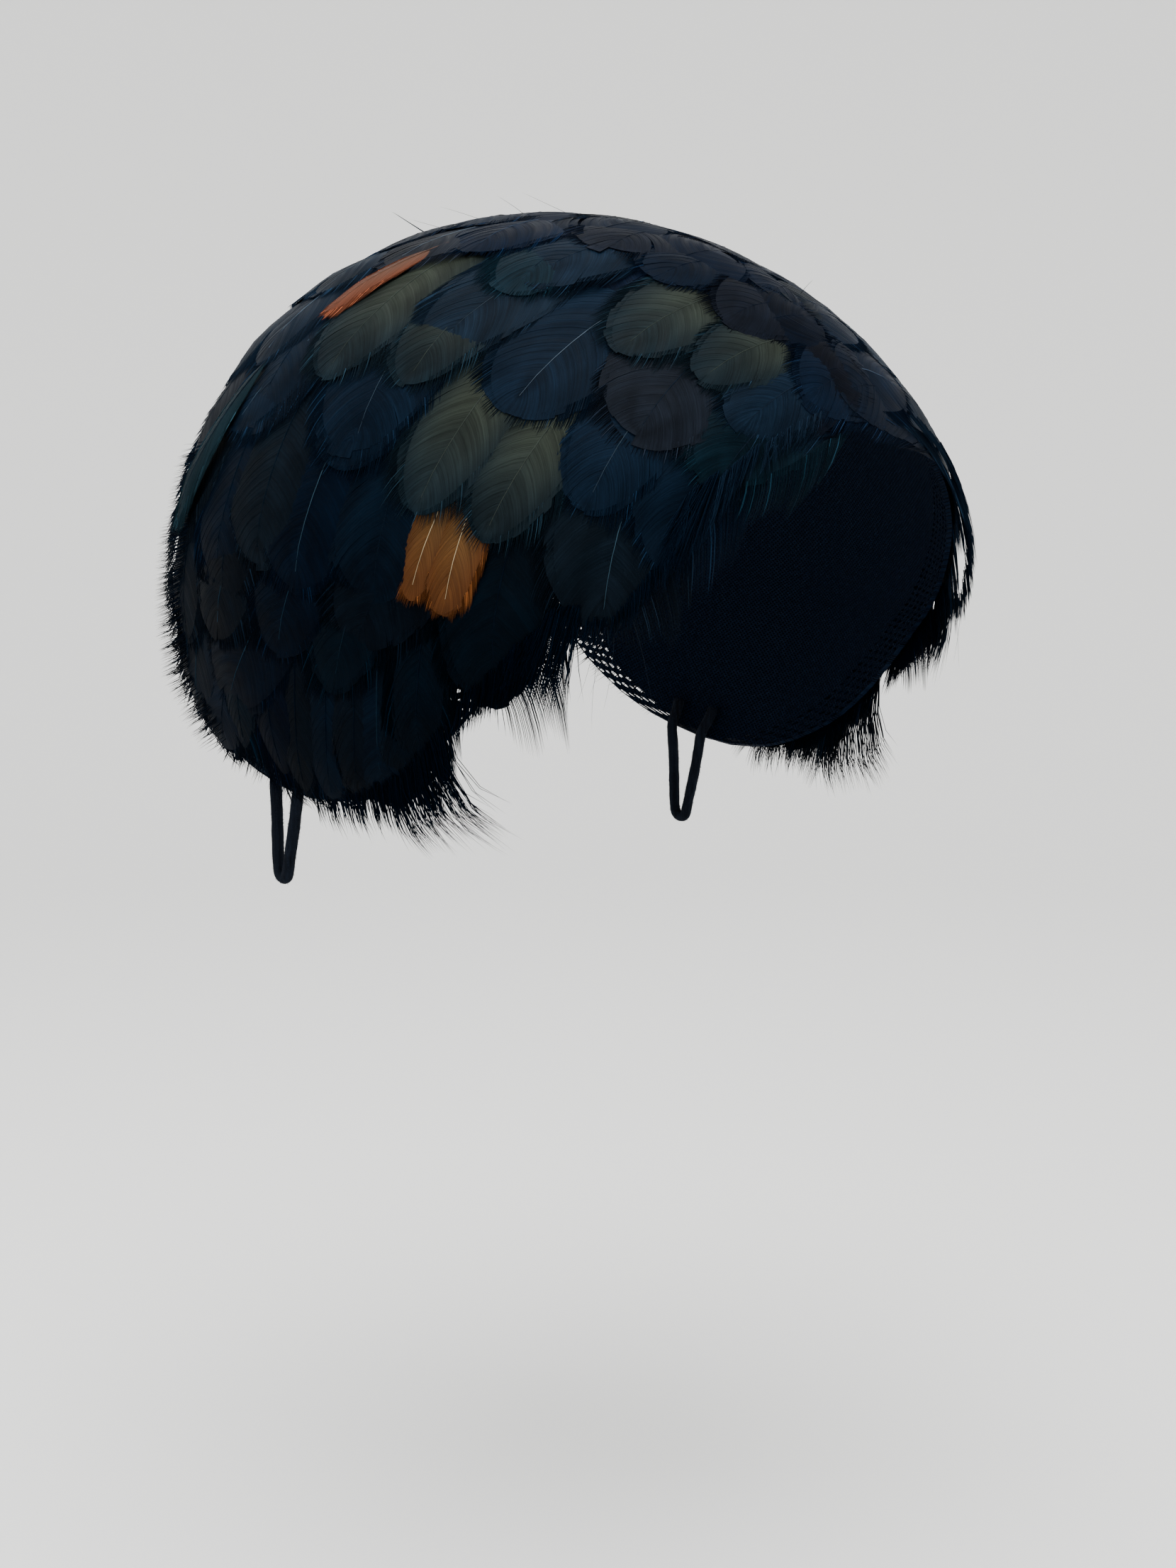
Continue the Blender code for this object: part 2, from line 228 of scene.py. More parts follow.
# Combs of loose barbs at the edges of the plumage, on both halves: the row that each belongs to, the
# angles round and along of its two ends in degrees, the barbs' length at each end in millimetres, their
# heading towards the back in degrees, their rise off the plumage in millimetres, how many there are, how
# many times they part and gather, and their curl towards the back in radians
COMB_VALUES = "row around along to_around to_along length to_length heading rise barbs gathers curl"
Comb = namedtuple("Comb", COMB_VALUES, defaults=(0.12,))
COMBS = (
    Comb(1, 20, -51, 38, -49.5, 3, 5, -42, 0.3, 60, 9),
    Comb(2, 38, -49, 50, -47.5, 5, 12, -26, 0.3, 80, 6),
    Comb(3, 49, -47, 57, -45, 21, 13, -10, 0.5, 110, 3),
    Comb(3, 58, -46, 70, -46, 6, 3, -20, 0.3, 80, 6),
    Comb(4, 70, -45.5, 82, -42, 3, 4, -22, 0.3, 80, 7),
    Comb(4, 83, -42, 85, -36.5, 3, 4, -4, 0.3, 60, 5),
    Comb(4, 82, -37.5, 84, -33.5, 22, 20, 2, 0.5, 130, 2),
    Comb(5, 86, -34, 92, -29.5, 14, 11, 3, 0.5, 130, 2),
    Comb(5, 92, -30.5, 103, -23, 9, 5, 0, 0.3, 180, 5),
    Comb(6, 106, -21.5, 111, -18, 27, 24, 2, 1, 70, 2, -0.55),
    Comb(6, 111, -18, 117, -13, 22, 15, 5, 1, 90, 3, -0.45),
    Comb(6, 116, -15, 120, -1, 11, 8, 6, 0.5, 130, 7, -0.2),
    Comb(6, 119, 0, 116, 14, 5, 6, 12, 1.5, 80, 6),
    Comb(6, 115, 14, 108, 24, 8, 8, 42, 5, 90, 6),
    Comb(5, 108, 24, 94, 26, 8, 9, 46, 5.5, 130, 8),
    Comb(4, 94, 26, 80, 26, 9, 8, 48, 5.5, 130, 8),
    Comb(3, 80, 26, 66, 28, 7, 8, 48, 5, 110, 7),
    Comb(6, 118, 14, 111, 29, 6, 7, 34, 0.8, 100, 7),
    Comb(5, 111, 29, 96, 36, 7, 7, 48, 0.8, 150, 8),
    Comb(4, 96, 36, 80, 38, 7, 6, 52, 0.8, 130, 8),
    Comb(3, 80, 38, 62, 40, 6, 6, 54, 0.8, 110, 7),
    Comb(2, 62, 40, 44, 41.5, 5, 5, 56, 0.8, 90, 7),
)
COMB_BASE = 0.0030
COMB_HEIGHT = 0.0024
COMB_PARTING = 0.28
COMB_GATHER = 0.16
COMB_STRAY = 0.025
CURL_STRAY = 0.06

# The last feathers at each lower end: tip and along in degrees, half width in millimetres
END_FEATHERS = np.array([
    (117.5, 12, 8.5), (119, 6, 8.5), (121, 0.5, 8), (121.5, -4.5, 8),
    (120.5, -9.5, 8), (119, -14, 8), (113, -18.5, 8),
])
END_LENGTH = 0.046

# A loose quill, the first, and stray hairs: angles round and along in degrees, the heading towards the
# back and the rise off the feathers in degrees, length, radius and sideways curl in millimetres
Stray = namedtuple("Stray", "side around along heading rise length radius curl")
STRAYS = (
    Stray("right", 9, 24, 60, 50, 12, 0.22, 0.6),
    Stray("right", 5, 22, 60, 30, 13, 0.07, 2.5),
    Stray("right", 4, 16, 95, 24, 16, 0.07, -3),
    Stray("right", 3, 10, -20, 22, 14, 0.07, 2),
    Stray("left", 2, 4, 120, 20, 16, 0.07, 2.5),
    Stray("left", 8, -30, 40, 42, 7, 0.08, 0.8),
    Stray("right", 83, -40, -3, 0, 16, 0.05, 2),
    Stray("right", 83, -41, 6, 0, 21, 0.05, -3.5),
    Stray("right", 82, -42, -12, 0, 18, 0.05, 2.5),
    Stray("right", 81, -43, 18, 0, 17, 0.05, -2),
    Stray("right", 80, -44, -30, 0, 19, 0.05, 1.5),
    Stray("left", 84, -40, -8, 0, 15, 0.05, 2),
    Stray("left", 82, -42, 10, 0, 18, 0.05, -2.5),
)

rng = np.random.default_rng(19)


def smooth(x, xs, ys):
    """Cubic pieces through the rows, with slopes that never overshoot, level at the first row."""
    steps = np.diff(ys) / np.diff(xs)
    before, after = steps[:-1], steps[1:]
    same_way = before * after > 0
    total = np.where(same_way, before + after, 1.0)
    inner = np.where(same_way, 2 * before * after / total, 0.0)
    slopes = np.concatenate(([0.0], inner, [steps[-1]]))
    i = np.clip(np.searchsorted(xs, x) - 1, 0, len(xs) - 2)
    width = xs[i + 1] - xs[i]
    t = (x - xs[i]) / width
    return (
        ys[i] * (1 + 2 * t) * (1 - t) ** 2
        + slopes[i] * width * t * (1 - t) ** 2
        + ys[i + 1] * t**2 * (3 - 2 * t)
        + slopes[i + 1] * width * t**2 * (t - 1)
    )


def edge_angle(around, column, reach):
    """An edge's angle along: its reach times the share that EDGE_ROWS gives at the angle round."""
    share = np.clip(np.abs(around) / NET_END, 0.0, 1.0)
    return reach * smooth(share, EDGE_ROWS[:, 0], EDGE_ROWS[:, column])


def front_edge(around):
    return -edge_angle(around, 1, FRONT_REACH)


def back_edge(around):
    return edge_angle(around, 2, BACK_REACH)


def power(value, exponent):
    """The value's size to the exponent, with the value's sign."""
    return np.sign(value) * np.abs(value) ** exponent


def ease(value):
    """Zero below 0, one above 1, and 3v^2 - 2v^3 between."""
    v = np.clip(value, 0.0, 1.0)
    return v * v * (3 - 2 * v)


def dome(around, along, height):
    """The net's outer face raised by a height: half ellipses swept from end to end, tilted forwards.

    x = (half width + height) cos(along) sin(around), y = (half depth + height) sin(along) and
    z = (net height + height) cos(along) cos(around), each with its fall as an exponent. Past the widest
    line the inward curl is cut to a share, so that the sides hang nearly straight.
    """
    around, along, height = np.broadcast_arrays(around, along, height)
    spread = np.abs(np.sin(around)) ** SHOULDER_FALL
    spread = np.where(np.abs(around) > math.pi / 2, 1 - SIDE_CURL * (1 - spread), spread)
    ring = np.abs(np.cos(along)) ** POLE_FALL
    x = (NET_HALF_WIDTH + height) * ring * spread * np.sign(around)
    y = (NET_HALF_DEPTH + height) * power(np.sin(along), POLE_FALL)
    z = (NET_HEIGHT + height) * ring * power(np.cos(around), SHOULDER_FALL)
    turn, rise = math.cos(NET_TILT), math.sin(NET_TILT)
    return np.stack([x, y * turn - z * rise, y * rise + z * turn], axis=-1)


def head_seat():
    """The highest point of the net's inner face on the middle line."""
    middle = dome(0.0, np.linspace(-FRONT_REACH, BACK_REACH, 4001), -NET_WALL)
    return middle[np.argmax(middle[:, 2])]


SEAT = head_seat()


def on_net(around, along, height):
    return dome(around, along, height) - SEAT


def bulk(around, along):
    """Feathers stand fuller at the back of the crown: one plus a share of cos(around) times along."""
    return 1 + BULK_CHANGE * np.cos(around) * along / FRONT_REACH


def unit(vectors):
    return vectors / np.maximum(np.linalg.norm(vectors, axis=-1, keepdims=True), 1e-12)


# A piece is made of patches: points, a list of face arrays, and each point's tint and pattern place
Patch = namedtuple("Patch", "points faces tint pattern")


def flat_patch(points, faces, tint, pattern):
    points = points.reshape(-1, 3)
    tint = np.broadcast_to(tint, points.shape) if np.ndim(tint) == 1 else tint.reshape(-1, 3)
    return Patch(points, faces, tint, pattern.reshape(-1, 2))


def many(pattern, count, size):
    """The faces of one body, repeated for each body of that many points."""
    return pattern[None] + (np.arange(count) * size)[:, None, None]


def bands(rings):
    """Quads between neighbouring rings of points, each ring closed on itself."""
    after = np.roll(rings, -1, axis=1)
    return np.stack([rings[:-1], after[:-1], after[1:], rings[1:]], -1).reshape(-1, 4)


def bodies(*values):
    """Arrays by feather, side and lock or barb, with those three as one list of bodies."""
    return [value.reshape((-1,) + value.shape[3:]) for value in values]


def slabs(upper, lower, tint, pattern):
    """Closed thin bodies, one for each pair of grids: the two grids as faces, and a rim round them.

    A body whose rows run the other way round has its faces turned, so that all face outwards.
    """
    count, columns, rows = upper.shape[:3]
    index = np.arange(2 * columns * rows).reshape(2, columns, rows)
    up, low = index
    quads = [
        np.stack([up[:-1, :-1], up[1:, :-1], up[1:, 1:], up[:-1, 1:]], -1).reshape(-1, 4),
        np.stack([low[:-1, :-1], low[:-1, 1:], low[1:, 1:], low[1:, :-1]], -1).reshape(-1, 4),
        np.stack([low[:-1, 0], low[1:, 0], up[1:, 0], up[:-1, 0]], -1),
        np.stack([low[:-1, -1], up[:-1, -1], up[1:, -1], low[1:, -1]], -1),
        np.stack([low[0, :-1], up[0, :-1], up[0, 1:], low[0, 1:]], -1),
        np.stack([low[-1, :-1], low[-1, 1:], up[-1, 1:], up[-1, :-1]], -1),
    ]
    faces = many(np.concatenate(quads), count, 2 * columns * rows)
    i, j = columns // 2, rows // 2
    outward = np.cross(upper[:, i, j] - upper[:, i - 1, j], upper[:, i, j] - upper[:, i, j - 1])
    turned = np.sum(outward * (upper[:, i, j] - lower[:, i, j]), axis=-1) < 0
    faces = np.where(turned[:, None, None], faces[..., ::-1], faces)
    points = np.stack([upper, lower], axis=1)
    both = lambda value, width: np.broadcast_to(value[:, None], (count, 2, columns, rows, width))
    return flat_patch(points, [faces.reshape(-1, 4)], both(tint, 3), both(pattern, 2))


def needles(path, radius, normal, tint, pattern):
    """Closed three-sided needles, one along each path, pinched to a point at its last place."""
    count, stations = path.shape[:2]
    rings = stations - 1
    ahead = unit(np.diff(path, axis=1))
    side = unit(np.cross(ahead, normal[:, :-1]))
    over = np.cross(side, ahead)
    width = radius[:, :-1, None]
    corners = np.stack([
        path[:, :-1] - side * width,
        path[:, :-1] + side * width,
        path[:, :-1] + over * width * 1.5,
    ], axis=2)
    points = np.concatenate([corners.reshape(count, -1, 3), path[:, -1:]], axis=1)
    ring = np.arange(rings * 3).reshape(rings, 3)
    size = rings * 3 + 1
    tip = np.full(3, rings * 3)
    triangles = [np.array([ring[0, ::-1]]), np.stack([ring[-1], np.roll(ring[-1], -1), tip], -1)]
    faces = [many(np.concatenate(triangles), count, size).reshape(-1, 3)]
    if rings > 1:
        faces.append(many(bands(ring), count, size).reshape(-1, 4))
    spread = lambda value: np.concatenate([np.repeat(value[:, :-1], 3, axis=1), value[:, -1:]], axis=1)
    return flat_patch(points, faces, spread(tint), spread(pattern))


def tubes(path, radius, normal, sides, tint, pattern):
    """Closed round tubes, one along each path, with a flat face at each end."""
    count, stations = path.shape[:2]
    ahead = unit(np.gradient(path, axis=1))
    side = unit(np.cross(ahead, normal))
    over = np.cross(side, ahead)
    turn = np.linspace(0, 2 * math.pi, sides, endpoint=False)
    ring = (side[:, :, None] * np.cos(turn)[:, None] + over[:, :, None] * np.sin(turn)[:, None])
    points = path[:, :, None] + ring * radius[..., None, None]
    size = stations * sides
    index = np.arange(size).reshape(stations, sides)
    ends = np.stack([index[0, ::-1], index[-1]])
    faces = [many(bands(index), count, size).reshape(-1, 4), many(ends, count, size).reshape(-1, sides)]
    spread = lambda value: np.repeat(value[:, :, None], sides, axis=2)
    return flat_patch(points, faces, spread(tint), spread(pattern))


def add(name, data):
    made = bpy.data.objects.new(name, data)
    bpy.context.scene.collection.objects.link(made)
    return made


def make_piece(name, patches, finish, nodes=()):
    """One mesh from patches, with a tint for each point and a pattern place as its UV map."""
    starts = np.cumsum([0] + [len(p.points) for p in patches])
    points = np.concatenate([p.points for p in patches])
    tint = np.concatenate([p.tint for p in patches])
    pattern = np.concatenate([p.pattern for p in patches])
    faces = [face + start for p, start in zip(patches, starts) for face in p.faces]
    corners = np.concatenate([face.ravel() for face in faces])
    lengths = np.concatenate([np.full(len(face), face.shape[1]) for face in faces])
    mesh = bpy.data.meshes.new(name)
    mesh.vertices.add(len(points))
    mesh.vertices.foreach_set("co", points.astype(np.float32).ravel())
    mesh.loops.add(len(corners))
    mesh.loops.foreach_set("vertex_index", corners.astype(np.int32))
    mesh.polygons.add(len(lengths))
    mesh.polygons.foreach_set("loop_start", np.concatenate([[0], np.cumsum(lengths)[:-1]]).astype(np.int32))
    mesh.update(calc_edges=True)
    layer = mesh.uv_layers.new(name="pattern")
    layer.uv.foreach_set("vector", pattern[corners].astype(np.float32).ravel())
    colour = mesh.attributes.new("tint", "FLOAT_COLOR", "POINT")
    colour.data.foreach_set("color", np.column_stack([tint, np.ones(len(tint))]).astype(np.float32).ravel())
    mesh.shade_smooth()
    mesh.set_sharp_from_angle(angle=math.radians(45))
    mesh.materials.append(finish)
    piece = add(name, mesh)
    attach(piece, "root")
    if nodes:
        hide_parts(*nodes)
    return piece


def shader_tree(name, **settings):
    """A new material with its tree and shader. An underscore in a setting stands for a space."""
    made = bpy.data.materials.new(name)
    made.use_nodes = True
    shader = made.node_tree.nodes["Principled BSDF"]
    for setting, value in settings.items():
        shader.inputs[setting.replace("_", " ")].default_value = value
    return made, made.node_tree, shader


def pattern_place(tree):
    pattern = tree.nodes.new("ShaderNodeUVMap")
    pattern.uv_map = "pattern"
    return pattern.outputs["UV"]


def colour(tree, shader, shade):
    """The points' own tint times a shade."""
    tint = tree.nodes.new("ShaderNodeAttribute")
    tint.attribute_name = "tint"
    mix = tree.nodes.new("ShaderNodeVectorMath")
    mix.operation = "SCALE"
    tree.links.new(tint.outputs["Color"], mix.inputs[0])
    tree.links.new(shade, mix.inputs["Scale"])
    tree.links.new(mix.outputs["Vector"], shader.inputs["Base Color"])


def relief(tree, shader, height, strength, depth):
    """Shallow relief where the height is great, its depth in metres."""
    bump = tree.nodes.new("ShaderNodeBump")
    bump.inputs["Strength"].default_value = strength
    bump.inputs["Distance"].default_value = depth
    tree.links.new(height, bump.inputs["Height"])
    tree.links.new(bump.outputs["Normal"], shader.inputs["Normal"])


def streaks(tree, source, along, across, detail):
    """Noise drawn out along the barbs: so many to the metre along them and across them."""
    spread = tree.nodes.new("ShaderNodeMapping")
    spread.inputs["Scale"].default_value = (along, across, 1.0)
    grain = tree.nodes.new("ShaderNodeTexNoise")
    grain.inputs["Scale"].default_value = 1.0
    grain.inputs["Detail"].default_value = detail
    tree.links.new(source, spread.inputs["Vector"])
    tree.links.new(spread.outputs["Vector"], grain.inputs["Vector"])
    return grain.outputs["Fac"]


def scaled(tree, value, low, high):
    """Noise between a third and two thirds, stretched to a range."""
    stretch = tree.nodes.new("ShaderNodeMapRange")
    stretch.inputs["From Min"].default_value = 0.32
    stretch.inputs["From Max"].default_value = 0.68
    stretch.inputs["To Min"].default_value = low
    stretch.inputs["To Max"].default_value = high
    tree.links.new(value, stretch.inputs["Value"])
    return stretch.outputs["Result"]


def maths(tree, operation, first, second):
    node = tree.nodes.new("ShaderNodeMath")
    node.operation = operation
    for socket, value in zip(node.inputs, (first, second)):
        if isinstance(value, float):
            socket.default_value = value
        else:
            tree.links.new(value, socket)
    return node.outputs["Value"]


# The vanes' grain: how many to the metre along the barbs and across them, detail, and the least and
# greatest shade
VANE_GRAINS = {
    "fine": (70.0, 2500.0, 1.0, 0.74, 1.26),
    "barbs": (50.0, 1150.0, 1.0, 0.89, 1.11),
    "lock": (45.0, 420.0, 2.0, 0.94, 1.06),
    "broad": (110.0, 70.0, 2.0, 0.70, 1.30),
}


def feather_finish(name, roughness, shine):
    """A feather's vane: its tint times four grains of barbs and locks, with a gloss that varies by lock."""
    made, tree, shader = shader_tree(name, Specular_IOR_Level=shine)
    place_on_vane, grain, shade = pattern_place(tree), {}, 1.0
    for kind, (along, across, detail, low, high) in VANE_GRAINS.items():
        grain[kind] = streaks(tree, place_on_vane, along, across, detail)
        shade = maths(tree, "MULTIPLY", scaled(tree, grain[kind], low, high), shade)
    colour(tree, shader, shade)
    gloss = scaled(tree, grain["lock"], roughness - 0.08, roughness + 0.10)
    tree.links.new(gloss, shader.inputs["Roughness"])
    fine, barbs = maths(tree, "MULTIPLY", grain["fine"], 0.9), maths(tree, "MULTIPLY", grain["barbs"], 0.6)
    relief(tree, shader, maths(tree, "ADD", fine, barbs), 0.45, 0.00012)
    return made


def net_finish():
    """Stiff black net: threads crossed at 45 degrees, each the size of a sine, proud of gaps darkened as
    painted shade.
    """
    made, tree, shader = shader_tree("black_net_threads", Roughness=0.6, Specular_IOR_Level=0.015)
    place_on_net = pattern_place(tree)
    weave = tree.nodes.new("ShaderNodeMapping")
    weave.inputs["Rotation"].default_value = (0.0, 0.0, math.radians(45))
    tree.links.new(place_on_net, weave.inputs["Vector"])
    split = tree.nodes.new("ShaderNodeSeparateXYZ")
    tree.links.new(weave.outputs["Vector"], split.inputs["Vector"])
    waves = []
    for axis in ("X", "Y"):
        turn = maths(tree, "MULTIPLY", split.outputs[axis], 2 * math.pi / THREAD_WAVE)
        waves.append(maths(tree, "ABSOLUTE", maths(tree, "SINE", turn, 0.0), 0.0))
    thread = maths(tree, "MAXIMUM", waves[0], waves[1])
    rough = scaled(tree, streaks(tree, place_on_net, 900.0, 900.0, 2.0), 0.7, 1.5)
    # Painted shade: the gaps between the threads are darkened, standing in for holes onto the shade inside
    # the net
    shade = maths(tree, "MULTIPLY", maths(tree, "POWER", thread, 3.0), rough)
    colour(tree, shader, maths(tree, "ADD", shade, 0.35))
    relief(tree, shader, thread, 0.8, 0.0004)
    return made


def velvet_finish():
    """Black velvet cord: a dark ground with a soft bluish bloom on its pile."""
    made, tree, shader = shader_tree(
        "black_velvet_pile", Roughness=0.9, Specular_IOR_Level=0.05, Sheen_Weight=0.02, Sheen_Roughness=0.5,
        Sheen_Tint=(0.5, 0.6, 0.8, 1.0))
    own_place = tree.nodes.new("ShaderNodeTexCoord").outputs["Object"]
    grain = streaks(tree, own_place, 1400.0, 1400.0, 3.0)
    colour(tree, shader, scaled(tree, grain, 0.5, 1.6))
    relief(tree, shader, grain, 0.7, 0.0003)
    return made


def camera():
    """The photograph's view: turned about the vertical, raised a little, and slid across the view."""
    turn, rise = CAMERA_TURN, CAMERA_RISE
    back = np.array([math.sin(turn) * math.cos(rise), -math.cos(turn) * math.cos(rise), math.sin(rise)])
    right = np.array([math.cos(turn), math.sin(turn), 0.0])
    up = np.cross(back, right)
    seen_from = back * CAMERA_DISTANCE + right * CAMERA_RIGHT + up * CAMERA_UP
    lens = bpy.data.cameras.new("camera")
    lens.lens = CAMERA_LENS
    lens.clip_start = 0.01
    made = add("camera", lens)
    made.location = seen_from - SEAT - np.array([0.0, DOME_SHIFT, 0.0])
    made.rotation_euler = (math.pi / 2 - rise, 0.0, turn)
    bpy.context.scene.camera = made


def studio():
    """A round pale room: a flat floor whose rim rises in a quarter ellipse into a wall."""
    turn = np.linspace(0, 2 * math.pi, 97)[:-1]
    out = np.linspace(0, 1, 10)[1:-1]
    bend = np.linspace(0, math.pi / 2, 25)
    radius = np.concatenate([out * ROOM_RADIUS / 2, ROOM_RADIUS / 2 * (1 + np.sin(bend))])
    height = np.concatenate([0 * out, ROOM_HEIGHT * (1 - np.cos(bend))])
    points = np.stack([
        radius[:, None] * np.cos(turn),
        radius[:, None] * np.sin(turn),
        FLOOR_DROP + height[:, None] + 0 * turn,
    ], -1)
    index = np.arange(points[..., 0].size).reshape(points.shape[:2])
    mesh = bpy.data.meshes.new("floor")
    faces = bands(index)[:, ::-1].tolist() + [index[0].tolist()]
    mesh.from_pydata(points.reshape(-1, 3).tolist(), [], faces)
    mesh.shade_smooth()
    mesh.materials.append(shader_tree("pale_paper", Base_Color=(0.80, 0.80, 0.79, 1.0), Roughness=0.9)[0])
    add("floor", mesh)


# The lights: place in metres, size in metres, power in watts
Lamp = namedtuple("Lamp", "name place size power")
LAMPS = (
    Lamp("overhead", (-0.15, -0.10, 0.75), 0.7, 12.0),
    Lamp("window", (-1.10, -0.35, 0.45), 0.9, 8.0),
    Lamp("fill", (0.90, -0.75, 0.30), 0.9, 4.0),
)
LIT_POINT = (0.0, 0.0, -0.05)
SKY_STRENGTH = 1.5


def lights():
    """Square lamps turned to the lit point, in an even white surround."""
    for lamp in LAMPS:
        source = bpy.data.lights.new(lamp.name, "AREA")
        source.shape = "SQUARE"
        source.size = lamp.size
        source.energy = lamp.power
        made = add(lamp.name, source)
        made.location = lamp.place
        aim = np.array(LIT_POINT) - np.array(lamp.place)
        level = math.hypot(aim[0], aim[1])
        made.rotation_euler = (math.atan2(level, -aim[2]), 0.0, math.atan2(aim[1], aim[0]) - math.pi / 2)
    world = bpy.data.worlds.new("studio")
    world.use_nodes = True
    surround = world.node_tree.nodes["Background"]
    surround.inputs["Color"].default_value = (1.0, 1.0, 1.0, 1.0)
    surround.inputs["Strength"].default_value = SKY_STRENGTH
    bpy.context.scene.world = world


def rounded_route(points, count):
    """A smooth curve through the route's points, read at even distances.

    Between b and c, with a before and d after, it is half of 2b + (c - a)t + (2a - 5b + 4c - d)t^2 +
    (3b - a - 3c + d)t^3.
    """
    ends = np.vstack([2 * points[0] - points[1], points, 2 * points[-1] - points[-2]])
    t = np.linspace(0, 1, 12, endpoint=False)[:, None]
    pieces = []
    for a, b, c, d in zip(ends[:-3], ends[1:-2], ends[2:-1], ends[3:]):
        pieces.append(0.5 * (2 * b + (c - a) * t + (2 * a - 5 * b + 4 * c - d) * t**2
                             + (3 * b - a - 3 * c + d) * t**3))
    dense = np.vstack(pieces + [points[-1:]])
    walked = np.concatenate(([0.0], np.cumsum(np.linalg.norm(np.diff(dense, axis=0), axis=1))))
    even = np.linspace(0, walked[-1], count)
    return np.stack([np.interp(even, walked, dense[:, k]) for k in range(3)], axis=1), walked[-1]


def loop_route(side):
    """The route set under the net where it is above the lower end, and straight down below it."""
    back, up = LOOP_ROUTE.T
    around = NET_END - np.maximum(up, 0.0) / NET_HEIGHT
    along = LOOP_ALONG + back / NET_HALF_DEPTH
    points = on_net(SIDES[side] * around, along, -NET_WALL - LOOP_GAP - LOOP_DIAMETER / 2)
    points[:, 2] += np.minimum(up, 0.0)
    return points


def pin_loop(side, finish):
    """A velvet loop: a tube along the route, its radius uneven by a share of two sines' product.

    Needles of pile lean off it at chance places.
    """
    points = loop_route(side)
    route, length = rounded_route(points, LOOP_RINGS)
    path = route[None]
    sideways = np.array([SIDES[side] * 1.0, 0.0, 0.0])
    outward = np.broadcast_to(sideways, path.shape)
    waves = np.sin(np.linspace(0, 60, LOOP_RINGS)) * np.sin(np.linspace(1, 23, LOOP_RINGS))
    radius = (LOOP_DIAMETER / 2 * (1 + LOOP_UNEVEN * waves))[None]
    radius[:, [0, -1]] *= LOOP_END_SHARE
    tint = np.broadcast_to(LOOP_TINT, path.shape)
    pattern = np.stack([np.linspace(0, length, LOOP_RINGS), np.zeros(LOOP_RINGS)], -1)[None]
    tube = tubes(path, radius, outward, LOOP_SIDES, tint, pattern)
    piece = make_piece(f"velvet_loop_{side}", [tube], finish, [f"pin_loop_{side}"])
    at = rng.uniform(0.0, LOOP_RINGS - 1.001, PILE_TUFTS)
    low = at.astype(int)
    share = (at - low)[:, None]
    centre = route[low] * (1 - share) + route[low + 1] * share
    ahead = unit(route[low + 1] - route[low])
    wide = unit(np.cross(ahead, sideways))
    turn = rng.uniform(0, 2 * math.pi, PILE_TUFTS)[:, None]
    out = wide * np.cos(turn) + np.cross(wide, ahead) * np.sin(turn)
    forwards, aside = rng.normal(0, 0.5, (PILE_TUFTS, 1)), rng.normal(0, 0.3, (PILE_TUFTS, 1))
    lean = unit(out + ahead * forwards + wide * aside)
    start = centre + out * LOOP_DIAMETER * 0.47
    end = start + lean * PILE_LENGTH * rng.uniform(0.4, 1.0, (PILE_TUFTS, 1))
    hairs = np.stack([start, end], axis=1)
    normal = np.broadcast_to(ahead[:, None], hairs.shape)
    thick = np.full(hairs.shape[:2], PILE_RADIUS)
    hair_tint = np.broadcast_to(LOOP_TINT * rng.uniform(0.6, 2.4, (PILE_TUFTS, 1, 1)), hairs.shape)
    patch = needles(hairs, thick, normal, hair_tint, np.zeros(hairs.shape[:2] + (2,)))
    pile = make_piece(f"velvet_pile_{side}", [patch], finish)
    tuple(points[0])


def margin_width(around):
    """The holed strip's width: HOLED_MARGIN, or MARGIN_SHARE of the net's width where that is less."""
    return np.minimum(HOLED_MARGIN, MARGIN_SHARE * (back_edge(around) - front_edge(around)) * NET_HALF_DEPTH)


